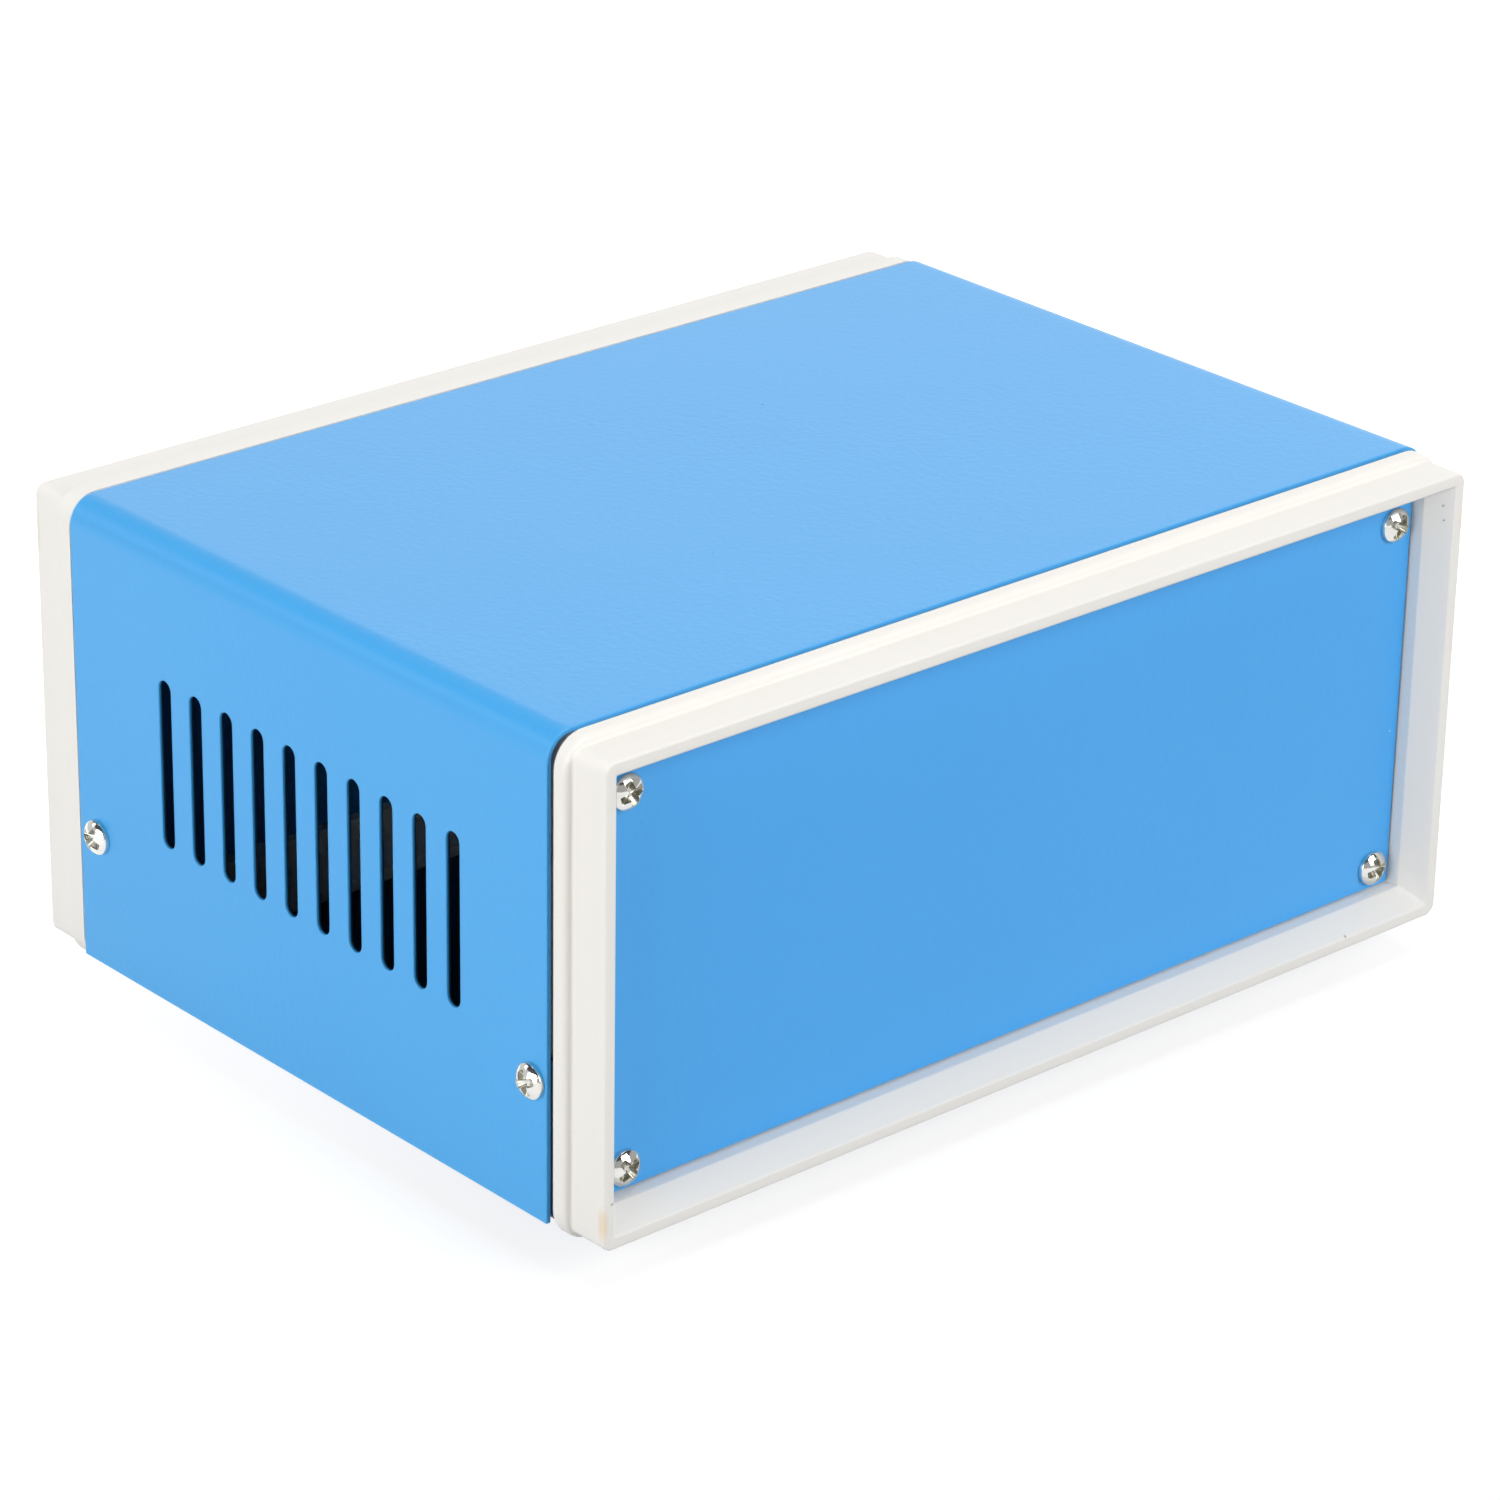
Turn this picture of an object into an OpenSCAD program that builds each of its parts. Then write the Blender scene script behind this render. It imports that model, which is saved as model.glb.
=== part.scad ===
// Metal project box: a folded steel cover over a folded steel tray, two moulded
// plastic end frames with a stepped lip, and a recessed steel panel in each frame.
// Millimetres. +Z is up, the front faces -Y, and the origin is on the table under
// the middle of the case.

/* [Case] */
// Width over the sides of the cover
case_w = 170; // [140:1:240]
// Depth from the face of the front lip to the face of the rear lip
case_d = 129.6; // [116:0.2:200]

/* [Cover] */
// Thickness of the cover's steel sheet
cover_t = 0.8; // [0.6:0.1:1.2]
// Outside radius of the cover's two bends
cover_bend_r = 4.2; // [2.5:0.1:6]
// Open joint between the cover and the front frame
front_joint = 1.1; // [0.5:0.1:2]
// Open joint between the cover and the rear frame
rear_joint = 1.9; // [0.5:0.1:2.5]
// Height of the cover's lower edges above the underside of the tray
cover_edge_lift = 0.25; // [0:0.05:1]

/* [Vents] */
// Number of slots in each side of the cover
vent_count = 10; // [4:1:11]
// Distance from one slot to the next
vent_pitch = 7.34; // [5:0.02:8]
// Width of a slot
vent_w = 2.9; // [1.5:0.1:3.5]
// Length of a slot over its round ends
vent_l = 26.5; // [15:0.5:30]
// Distance from the tray's side up to the lower end of the slots
vent_above_tray = 0.75; // [0.5:0.05:4]
// Distance of the row's middle behind the middle of the case
vent_shift = -1.55; // [-4:0.05:4]

/* [Tray] */
// Thickness of the tray's steel sheet
tray_t = 0.8; // [0.6:0.1:1.2]
// Outside radius of the tray's two bends
tray_bend_r = 1.8; // [1.4:0.1:3]
// Height of the tray's folded-up sides, from its underside
tray_side_h = 25; // [22:0.5:28]

/* [Frames] */
// Height of a frame over its flange
frame_h = 75.5; // [70:0.5:110]
// Distance that a frame reaches below the underside of the tray
frame_drop = 2; // [1.9:0.05:3]
// Distance of the flange's sides inside the cover's outer faces
flange_inset = 0.2; // [0:0.05:0.6]
// Length of the flange, from the step to the joint
flange_l = 2.35; // [2:0.05:4]
// Corner radius of the flange
flange_corner_r = 4.9; // [4:0.1:7]
// Rounding of the flange's step
flange_edge_r = 1.2; // [0.4:0.1:1.3]
// Height of the step from the flange in to the lip
lip_step = 1.35; // [1:0.05:2]
// Length of the lip in front of the flange
lip_l = 6.7; // [5.5:0.1:10]
// Corner radius of the lip
lip_corner_r = 1.8; // [1.2:0.1:4]
// Rounding of the lip's outer front edge
lip_edge_r = 0.4; // [0.2:0.05:0.8]
// Thickness of the lip at its face
lip_wall = 1.9; // [1.5:0.1:2.5]
// Distance from the lip's outside in to the opening at the panel
opening_inset = 4.35; // [3.5:0.05:6]
// Length of the straight reveal between the flare and the panel
reveal_l = 2; // [1:0.1:3]
// Width of the ledge behind the panel's edge
ledge_w = 2.5; // [1.5:0.1:3]
// Length of the spigot that slides into the cover
spigot_l = 11.5; // [11:0.5:16]
// Wall thickness of the spigot
spigot_wall = 2; // [1.5:0.1:2.5]
// Corner radius of the spigot
spigot_corner_r = 4; // [3:0.1:5]
// Sliding clearance between spigot, tray side and cover
fit_gap = 0.2; // [0.1:0.05:0.4]

/* [Panels] */
// Thickness of a panel's steel sheet
panel_t = 1; // [0.8:0.1:2]
// Depth of the panel's face behind the lip's face
panel_recess = 6; // [5:0.1:6.2]
// Clearance round the edge of a panel
panel_gap = 0.35; // [0.2:0.05:0.6]
// Corner radius of a panel
panel_corner_r = 0.6; // [0.2:0.1:2]
// Distance from the side of the opening to a panel screw
panel_screw_x = 4.2; // [3.8:0.1:6]
// Distance from the top or bottom of the opening to a panel screw
panel_screw_z = 3.8; // [3.6:0.1:6]

/* [Screws] */
// Outer diameter of the screw threads
screw_d = 3; // [2.5:0.1:3.2]
// Diameter of the screw heads
head_d = 5.4; // [5:0.1:6]
// Height of the screw heads
head_h = 1.9; // [1.6:0.1:2.1]
// Height of the straight rim of a screw head
head_rim_h = 0.7; // [0.4:0.1:1]
// Length of the screws under the head
screw_l = 8; // [7:0.5:8]
// Span of the cross recess over its wings
recess_w = 3.6; // [3:0.1:4]
// Width of one wing of the cross recess
recess_wing = 0.8; // [0.6:0.05:1]
// Depth of the cross recess
recess_depth = 1.4; // [1:0.1:1.6]
// Clearance round a screw in sheet metal and rubber
hole_gap = 0.2; // [0.1:0.05:0.3]
// Clearance round a screw in its threaded hole
thread_gap = 0.05; // [0.02:0.01:0.1]
// Diameter of the moulded screw bosses
boss_d = 7; // [6:0.1:7.4]
// Depth of a boss beyond the tip of its screw
boss_cap = 1.5; // [1:0.1:2.5]
// Thickness of the ribs between a boss and the spigot
rib_t = 1.6; // [1:0.1:2.5]
// Distance from the cover's front edge to its front screws
cover_screw_front = 3.1; // [2.8:0.1:4]
// Distance from the cover's rear edge to its rear screws
cover_screw_rear = 4.6; // [2.8:0.1:5]
// Distance of the cover screws below the top of the tray's sides
cover_screw_drop = 3.75; // [3:0.05:6]
// Distance of the tray screws from the sides of the case
tray_screw_x = 30; // [24:0.5:50]
// Distance of the tray screws behind a frame's flange
tray_screw_y = 6.2; // [6:0.1:7]

/* [Feet] */
// Height of a rubber foot
foot_h = 6.5; // [5.5:0.1:10]
// Diameter of a foot against the tray
foot_d = 15; // [13:0.5:20]
// Diameter of a foot on the table
foot_base_d = 13; // [11.5:0.5:13]
// Bevel round the lower edge of a foot
foot_bevel = 0.8; // [0.3:0.1:1.2]
// Diameter of the recess for the foot's screw head
foot_recess_d = 6.8; // [6.4:0.1:7.5]
// Thickness of rubber under the foot's screw head
foot_web = 3; // [2:0.1:3.2]
// Distance from the side of the case to a foot's centre
foot_x = 20; // [16:0.5:40]
// Distance from a lip's face to a foot's centre
foot_y = 28; // [24:0.5:36]
// Width across the flats of a nut
nut_w = 5.5; // [5:0.1:6]
// Thickness of a nut
nut_h = 2.4; // [1.8:0.1:2.6]

/* [Hidden] */
$fn = 48;

// Finishes
paint_blue = "#64AFF0";
shell_white = "#EFEEEB";
plated_steel = "#C9CBC8";
rubber_black = "#26262A";

// Overlap of a cut past the face that it opens
cut = 1;
left = -1;
right = 1;
sides = [left, right];
ends = [-1, 1];

// Levels above the table
tray_under = foot_h;
tray_floor = tray_under + tray_t;
tray_side_top = tray_under + tray_side_h;
frame_bottom = tray_under - frame_drop;
frame_mid = frame_bottom + frame_h / 2;
frame_top = frame_bottom + frame_h;
cover_bottom = tray_under + cover_edge_lift;
cover_h = frame_top - cover_bottom;
cover_screw_level = tray_side_top - cover_screw_drop;

// Depths: a frame's flange ends frame_l behind its lip's face
frame_l = lip_l + flange_l;
flange_y = case_d / 2 - frame_l;
cover_front = -flange_y + front_joint;
cover_rear = flange_y - rear_joint;
cover_d = cover_rear - cover_front;
cover_screw_ys = [cover_front + cover_screw_front, cover_rear - cover_screw_rear];

// Widths and heights of the frame's rings
flange_w = case_w - 2 * flange_inset;
lip_w = flange_w - 2 * lip_step;
lip_h = frame_h - 2 * lip_step;
mouth_w = lip_w - 2 * lip_wall;
mouth_h = lip_h - 2 * lip_wall;
opening_w = lip_w - 2 * opening_inset;
opening_h = lip_h - 2 * opening_inset;
flare_l = panel_recess - reveal_l;
ledge_t = frame_l - panel_recess - panel_t;
tray_w = case_w - 2 * (cover_t + fit_gap);
spigot_w = tray_w - 2 * (tray_t + fit_gap);
spigot_bottom = tray_floor - frame_mid;
spigot_top = frame_top - cover_t - fit_gap - frame_mid;
spigot_h = spigot_top - spigot_bottom;
spigot_mid = (spigot_top + spigot_bottom) / 2;
hollow_w = spigot_w - 2 * spigot_wall;
hollow_h = spigot_h - 2 * spigot_wall;

// Panels and their screws, seen square on
panel_w = opening_w - 2 * panel_gap;
panel_h = opening_h - 2 * panel_gap;
panel_screw_half_w = opening_w / 2 - panel_screw_x;
panel_screw_half_h = opening_h / 2 - panel_screw_z;

// Screws, their holes and their bosses
clear_r = screw_d / 2 + hole_gap;
thread_r = screw_d / 2 + thread_gap;
boss_r = boss_d / 2;
head_dome_h = head_h - head_rim_h;
head_dome_r = (head_d * head_d / 4 + head_dome_h * head_dome_h) / (2 * head_dome_h);
screw_tip_l = 0.4;
recess_floor_w = recess_w / 3;
cover_screw_reach = screw_l - (case_w - spigot_w) / 2;
panel_boss_l = screw_l - panel_t + boss_cap;
tray_screw_half_w = case_w / 2 - tray_screw_x;
tray_boss_h = screw_l - tray_t + boss_cap;

// Turn of the cross recess of each screw, as the screws were left
front_panel_turns = [[38, 20], [14, 62]];
rear_panel_turns = [[55, 10], [32, 74]];
cover_turns = [[24, 66], [48, 12]];
tray_turns = [[5, 50], [70, 33]];
foot_turns = [[15, 60], [41, 80]];

// Feet
foot_half_w = case_w / 2 - foot_x;
foot_half_d = case_d / 2 - foot_y;
foot_seat = foot_h - foot_web;

// Rectangle with round corners, centred
module rounded_rect(w, h, r) {
    square([w - 2 * r, h], center = true);
    square([w, h - 2 * r], center = true);
    for (sx = sides, sy = sides)
        translate([sx * (w / 2 - r), sy * (h / 2 - r)])
            circle(r);
}

// Section of a plate's rim: straight up to its rounded far edge
module rim_section(l, edge) {
    square([edge, l - edge]);
    translate([0, l - edge])
        intersection() {
            circle(edge);
            square(edge);
        }
}

// Plate of length l with its outer edge rounded at the far end: a flat core,
// four straight rims and four turned corners
module soft_plate(w, h, r, l, edge) {
    linear_extrude(l)
        rounded_rect(w - 2 * edge, h - 2 * edge, r - edge);
    for (quarter = [0 : 3]) {
        across = quarter % 2 == 0 ? w : h;
        along = quarter % 2 == 0 ? h : w;
        rotate([0, 0, 90 * quarter]) {
            translate([across / 2 - edge, 0, 0])
                rotate([90, 0, 0])
                    linear_extrude(along - 2 * r, center = true)
                        rim_section(l, edge);
            translate([across / 2 - r, along / 2 - r, 0])
                rotate_extrude(angle = 90)
                    translate([r - edge, 0])
                        rim_section(l, edge);
        }
    }
}

// Solid whose four sides slope from a small rectangle at z = 0 to a large one at z = l
module sloped_block(w0, h0, w1, h1, l) {
    intersection() {
        rotate([90, 0, 0])
            linear_extrude(2 * h1, center = true)
                polygon([[-w0 / 2, 0], [w0 / 2, 0], [w1 / 2, l], [-w1 / 2, l]]);
        rotate([90, 0, 90])
            linear_extrude(2 * w1, center = true)
                polygon([[-h0 / 2, 0], [h0 / 2, 0], [h1 / 2, l], [-h1 / 2, l]]);
    }
}

// Outline of a folded channel's outside: open at y = 0, bends at y = h
module channel_outline(w, h, r) {
    translate([-w / 2, 0])
        square([w, h - r]);
    translate([-w / 2 + r, 0])
        square([w - 2 * r, h]);
    for (s = sides)
        translate([s * (w / 2 - r), h - r])
            circle(r);
}

// Folded channel of sheet t, with length l along Y from y = 0
module channel(w, h, r, t, l) {
    translate([0, l, 0])
        rotate([90, 0, 0])
            linear_extrude(l)
                difference() {
                    channel_outline(w, h, r);
                    translate([0, -cut])
                        channel_outline(w - 2 * t, h - t + cut, r - t);
                }
}

// Turns a shape drawn facing +Z to face the front, on the plane of the front flange
module at_front() {
    translate([0, -flange_y, frame_mid])
        rotate([90, 0, 0])
            children();
}

// The same for the rear: half a turn about the upright axis
module at_rear() {
    rotate([0, 0, 180])
        at_front()
            children();
}

// Places the four panel screws' axes, as [column, row]
module at_panel_screws() {
    for (column = [0, 1], row = [0, 1]) {
        $column = column;
        $row = row;
        translate([sides[column] * panel_screw_half_w, sides[row] * panel_screw_half_h, 0])
            children();
    }
}

// Places the two cover screws of one side, head outwards
module at_cover_screws(side) {
    for (end = [0, 1]) {
        $end = end;
        translate([side * case_w / 2, cover_screw_ys[end], cover_screw_level])
            rotate([0, side * 90, 0])
                children();
    }
}

// Places the two tray screws of one frame, head downwards, in that frame's end of the case
module at_tray_screws(end) {
    for (column = [0, 1]) {
        $column = column;
        translate([sides[column] * tray_screw_half_w, end * (flange_y - tray_screw_y), tray_under])
            rotate([180, 0, 0])
                children();
    }
}

// Places the four feet's axes
module at_feet() {
    for (column = [0, 1], end = [0, 1]) {
        $column = column;
        $end = end;
        translate([sides[column] * foot_half_w, ends[end] * foot_half_d, 0])
            children();
    }
}

// Pan-head screw with a cross recess: its head sits on z = 0 and its thread runs down
module pan_screw(turn) {
    color(plated_steel)
        difference() {
            union() {
                intersection() {
                    cylinder(d = head_d, h = head_h);
                    translate([0, 0, head_h - head_dome_r])
                        sphere(head_dome_r);
                }
                translate([0, 0, screw_tip_l - screw_l])
                    cylinder(d = screw_d, h = screw_l - screw_tip_l);
                translate([0, 0, -screw_l])
                    cylinder(r1 = screw_d / 2 - screw_tip_l, r2 = screw_d / 2, h = screw_tip_l);
            }
            for (wing = [0, 90])
                translate([0, 0, head_h])
                    rotate([90, 0, turn + wing])
                        linear_extrude(recess_wing, center = true)
                            polygon([
                                [-recess_floor_w / 2, -recess_depth], [recess_floor_w / 2, -recess_depth],
                                [recess_w / 2, 0], [recess_w / 2, cut],
                                [-recess_w / 2, cut], [-recess_w / 2, 0]
                            ]);
        }
}

// Lip, flange and spigot as one outside form, facing +Z, flange's back on z = 0
module frame_outside() {
    soft_plate(lip_w, lip_h, lip_corner_r, frame_l, lip_edge_r);
    soft_plate(flange_w, frame_h, flange_corner_r, flange_l, flange_edge_r);
    translate([0, spigot_mid, -spigot_l])
        linear_extrude(spigot_l + flange_l / 2)
            rounded_rect(spigot_w, spigot_h, spigot_corner_r);
}

// The frame's clear way: flared mouth, straight reveal, ledge and hollow spigot
module frame_inside() {
    translate([0, 0, frame_l - flare_l])
        sloped_block(opening_w, opening_h, mouth_w, mouth_h, flare_l);
    translate([0, 0, frame_l])
        linear_extrude(cut)
            square([mouth_w, mouth_h], center = true);
    translate([0, 0, ledge_t])
        linear_extrude(frame_l - flare_l - ledge_t)
            square([opening_w, opening_h], center = true);
    translate([0, 0, -cut])
        linear_extrude(ledge_t + 2 * cut)
            square([opening_w - 2 * ledge_w, opening_h - 2 * ledge_w], center = true);
    translate([0, spigot_mid, -spigot_l - cut])
        linear_extrude(spigot_l + cut)
            rounded_rect(hollow_w, hollow_h, spigot_corner_r - spigot_wall);
}

// Boss behind each corner of the panel, with a rib to each wall of the spigot
module panel_bosses() {
    intersection() {
        translate([0, spigot_mid, -spigot_l])
            linear_extrude(spigot_l + ledge_t)
                rounded_rect(spigot_w, spigot_h, spigot_corner_r);
        at_panel_screws() {
            translate([0, 0, ledge_t - panel_boss_l])
                cylinder(r = boss_r, h = panel_boss_l);
            translate([0, 0, ledge_t - panel_boss_l]) {
                translate([0, -rib_t / 2, 0])
                    mirror([1 - $column, 0, 0])
                        cube([spigot_w / 2, rib_t, panel_boss_l]);
                translate([-rib_t / 2, 0, 0])
                    mirror([0, 1 - $row, 0])
                        cube([rib_t, spigot_h / 2, panel_boss_l]);
            }
        }
    }
}

// Boss for the cover screw in each side of the spigot, screw_y behind the flange
module cover_bosses(screw_y) {
    boss_l = cover_screw_reach + boss_cap;
    for (side = sides)
        translate([side * (spigot_w / 2 - boss_l), cover_screw_level - frame_mid, -screw_y])
            rotate([0, side * 90, 0])
                cylinder(r = boss_r, h = boss_l);
}

// Boss for each tray screw on the floor of the spigot
module tray_bosses() {
    for (side = sides)
        translate([side * tray_screw_half_w, spigot_bottom, -tray_screw_y])
            rotate([-90, 0, 0])
                cylinder(r = boss_r, h = tray_boss_h);
}

// Threaded holes of the frame, drawn where the screws go
module frame_threads(screw_y) {
    at_panel_screws()
        translate([0, 0, ledge_t + panel_t - screw_l])
            cylinder(r = thread_r, h = screw_l + cut);
    for (side = sides) {
        translate([side * (spigot_w / 2 - cover_screw_reach), cover_screw_level - frame_mid, -screw_y])
            rotate([0, side * 90, 0])
                cylinder(r = thread_r, h = cover_screw_reach + cut);
        translate([side * tray_screw_half_w, spigot_bottom - cut, -tray_screw_y])
            rotate([-90, 0, 0])
                cylinder(r = thread_r, h = screw_l - tray_t + cut);
    }
}

// One moulded end frame, facing +Z
module frame_moulding(screw_y) {
    color(shell_white)
        difference() {
            union() {
                difference() {
                    frame_outside();
                    frame_inside();
                }
                panel_bosses();
                cover_bosses(screw_y);
                tray_bosses();
            }
            frame_threads(screw_y);
        }
}

// One panel, facing +Z, resting on the ledge of its frame
module end_panel() {
    color(paint_blue)
        translate([0, 0, ledge_t])
            difference() {
                linear_extrude(panel_t)
                    rounded_rect(panel_w, panel_h, panel_corner_r);
                at_panel_screws()
                    translate([0, 0, -cut])
                        cylinder(r = clear_r, h = panel_t + 2 * cut);
            }
}

// The four screws of one panel
module panel_screws(turns) {
    translate([0, 0, ledge_t + panel_t])
        at_panel_screws()
            pan_screw(turns[$column][$row]);
}

// Row of vertical round-ended slots, cut through both sides of the cover
module vents() {
    vent_straight = vent_l - vent_w;
    vent_mid = tray_side_top + vent_above_tray + vent_l / 2;
    for (i = [0 : vent_count - 1])
        translate([0, vent_shift + (i - (vent_count - 1) / 2) * vent_pitch, vent_mid])
            rotate([90, 0, 90])
                linear_extrude(case_w + 2 * cut, center = true) {
                    square([vent_w, vent_straight], center = true);
                    for (s = sides)
                        translate([0, s * vent_straight / 2])
                            circle(d = vent_w);
                }
}

module top_cover() {
    color(paint_blue)
        difference() {
            translate([0, cover_front, cover_bottom])
                channel(case_w, cover_h, cover_bend_r, cover_t, cover_d);
            vents();
            for (side = sides)
                at_cover_screws(side)
                    translate([0, 0, -cover_t - fit_gap / 2])
                        cylinder(r = clear_r, h = cover_t + fit_gap / 2 + cut);
        }
}

module base_tray() {
    color(paint_blue)
        difference() {
            translate([0, cover_front, tray_side_top])
                mirror([0, 0, 1])
                    channel(tray_w, tray_side_h, tray_bend_r, tray_t, cover_d);
            for (side = sides)
                at_cover_screws(side)
                    translate([0, 0, -cover_t - fit_gap - tray_t - fit_gap / 2])
                        cylinder(r = clear_r, h = tray_t + fit_gap + cut);
            for (end = ends)
                at_tray_screws(end)
                    translate([0, 0, -tray_t - cut])
                        cylinder(r = clear_r, h = tray_t + 2 * cut);
            at_feet()
                translate([0, 0, tray_under - cut])
                    cylinder(r = clear_r, h = tray_t + 2 * cut);
        }
}

module front_frame() {
    at_front()
        frame_moulding(cover_screw_ys[0] + flange_y);
}

module rear_frame() {
    at_rear()
        frame_moulding(flange_y - cover_screw_ys[1]);
}

module front_panel() {
    at_front()
        end_panel();
}

module rear_panel() {
    at_rear()
        end_panel();
}

module front_panel_screws() {
    at_front()
        panel_screws(front_panel_turns);
}

module rear_panel_screws() {
    at_rear()
        panel_screws(rear_panel_turns);
}

module left_cover_screws() {
    at_cover_screws(left)
        pan_screw(cover_turns[0][$end]);
}

module right_cover_screws() {
    at_cover_screws(right)
        pan_screw(cover_turns[1][$end]);
}

module front_tray_screws() {
    at_tray_screws(ends[0])
        pan_screw(tray_turns[0][$column]);
}

module rear_tray_screws() {
    at_tray_screws(ends[1])
        pan_screw(tray_turns[1][$column]);
}

// Round rubber foot, narrower on the table, with a recess for its screw's head
module foot(column, end) {
    color(rubber_black)
        translate([sides[column] * foot_half_w, ends[end] * foot_half_d, 0])
            rotate_extrude()
                polygon([
                    [foot_recess_d / 2, 0], [foot_base_d / 2 - foot_bevel, 0],
                    [foot_base_d / 2, foot_bevel], [foot_d / 2, foot_h],
                    [clear_r, foot_h], [clear_r, foot_seat], [foot_recess_d / 2, foot_seat]
                ]);
}

module foot_front_left() {
    foot(0, 0);
}

module foot_front_right() {
    foot(1, 0);
}

module foot_rear_left() {
    foot(0, 1);
}

module foot_rear_right() {
    foot(1, 1);
}

module foot_screws() {
    at_feet()
        translate([0, 0, foot_seat])
            rotate([180, 0, 0])
                pan_screw(foot_turns[$column][$end]);
}

module foot_nuts() {
    color(plated_steel)
        at_feet()
            translate([0, 0, tray_floor])
                linear_extrude(nut_h)
                    difference() {
                        circle(d = nut_w / cos(30), $fn = 6);
                        circle(thread_r);
                    }
}

top_cover();
base_tray();
front_frame();
rear_frame();
front_panel();
rear_panel();
front_panel_screws();
rear_panel_screws();
left_cover_screws();
right_cover_screws();
front_tray_screws();
rear_tray_screws();
foot_front_left();
foot_front_right();
foot_rear_left();
foot_rear_right();
foot_screws();
foot_nuts();
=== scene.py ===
"""Looks of the metal project box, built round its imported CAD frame.

The painted sheets are flat patterns with their slots and holes, folded by formula. The white frames are
one section carried round a rounded rectangle. Screws, feet and bosses are turned. All lengths are metres.
"""

import math

import bmesh
import bpy
import numpy as np
from mathutils import Matrix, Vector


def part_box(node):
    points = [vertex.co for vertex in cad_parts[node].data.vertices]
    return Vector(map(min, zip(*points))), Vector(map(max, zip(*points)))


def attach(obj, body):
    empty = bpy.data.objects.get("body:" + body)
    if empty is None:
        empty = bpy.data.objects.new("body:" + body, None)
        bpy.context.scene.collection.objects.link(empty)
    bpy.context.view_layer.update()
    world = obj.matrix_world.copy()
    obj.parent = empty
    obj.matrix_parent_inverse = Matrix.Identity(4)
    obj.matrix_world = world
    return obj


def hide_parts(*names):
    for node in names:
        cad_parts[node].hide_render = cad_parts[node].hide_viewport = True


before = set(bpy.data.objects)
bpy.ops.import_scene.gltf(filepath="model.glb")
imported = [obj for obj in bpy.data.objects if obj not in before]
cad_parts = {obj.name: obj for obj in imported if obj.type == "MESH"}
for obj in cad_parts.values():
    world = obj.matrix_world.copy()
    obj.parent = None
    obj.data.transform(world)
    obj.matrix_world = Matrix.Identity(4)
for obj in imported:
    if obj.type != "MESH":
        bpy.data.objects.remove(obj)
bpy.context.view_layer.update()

MM = 0.001

# Camera: the photograph's view of the box
PHOTO_PIXELS = 1500
FOCAL_PIXELS = 5569.3
SENSOR_W = 36.0  # millimetres, Blender's unit for a sensor and a lens
CAMERA_PLACE = (-510.1 * MM, -569.8 * MM, 378.0 * MM)
CAMERA_AZIMUTH = math.radians(-41.82)
CAMERA_ELEVATION = math.radians(24.18)
CAMERA_ROLL = math.radians(0.976)

# Studio walls: levels, and the stretch of Y, of nearness to the sweep and of Z over which each takes over
FRONT_LEVEL = 0.45
BACK_LEVEL = 0.75
BACK_RISE = (-0.1, 0.5)
SWEEP_LEVEL = 1.65
SWEEP_SIDE = (0.65, 0.68, 0.33)
SWEEP_RISE = (0.6, 0.9)
CEILING_LEVEL = 0.08
CEILING_RISE = (0.44, 0.54)

# Paper floor. Where it is seen it glows, differently in front, behind and far away. The rises are the
# stretches of Y and of distance from the middle over which the glow changes
FLOOR_TONE = 0.35
FLOOR_RINGS = (0, 0.3, 1.0, 4.0, 30.0)
FRONT_GLOW = 0.62
BACK_GLOW = 1.1
BACK_GLOW_RISE = (-0.25, 0.3)
FAR_GLOW = 0.85
FAR_GLOW_RISE = (0.5, 1.2)

# Soft boxes: name, place, width and power in watts
SOFT_BOXES = (
    ("soft_box_front", (0.3, -1.1, 0.58), 0.8, 8.55),
    ("soft_box_left", (-1.1, -0.12, 0.14), 0.9, 11.3),
    ("soft_box_behind", (-0.9, 0.99, 0.81), 0.4, 0.9),
    ("soft_box_above", (0.4, 0.12, 1.9), 1.2, 18.6),
)

# Painted sheet
SHEET_T = 0.8 * MM
COVER_BEND_R = 4.2 * MM
TRAY_BEND_R = 1.8 * MM
SHEET_EDGE_R = 0.32 * MM
SCREW_HOLE_R = 1.7 * MM
HOLE_CELL = 3.1 * MM
BEND_MARGIN = 2.0 * MM
PANEL_CORNER_R = 0.6 * MM

# Vents in the cover's sides
VENT_COUNT = 10
VENT_PITCH = 7.34 * MM
VENT_W = 2.9 * MM
VENT_L = 26.5 * MM
VENT_ABOVE_TRAY = 0.75 * MM
VENT_ROW_Y = -1.55 * MM
VENT_MARGIN = 1.4 * MM

# Moulded frames: depths are measured forwards from the back of the flange
FLANGE_L = 2.35 * MM
FLANGE_CORNER_R = 4.9 * MM
FLANGE_EDGE_R = 0.9 * MM
LIP_STEP = 1.35 * MM
LIP_L = 6.7 * MM
LIP_CORNER_R = 1.8 * MM
LIP_EDGE_R = 0.4 * MM
LIP_WALL = 1.9 * MM
STEP_FILLET_R = 0.4 * MM
MOUTH_EDGE_R = 0.2 * MM
OPENING_INSET = 4.35 * MM
OPENING_CORNER_R = 0.3 * MM
FLARE_L = 4.0 * MM
LEDGE_T = 2.05 * MM
LEDGE_W = 2.5 * MM
SPIGOT_L = 11.5 * MM
SPIGOT_WALL = 2.0 * MM
SPIGOT_CORNER_R = 4.0 * MM
FIT_GAP = 0.2 * MM
MOULD_EDGE_R = 0.2 * MM
HIDDEN_EDGE_R = 0.05 * MM
# How far each flange reaches back towards the cover, and the radius of its back edge
FLANGE_BACKS = {"front": (0.1 * MM, 0.25 * MM), "rear": (1.45 * MM, 0.1 * MM)}
BOSS_R = 3.5 * MM
BOSS_CAP = 1.5 * MM
RIB_T = 1.6 * MM
THREAD_HOLE_R = 1.55 * MM

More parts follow.
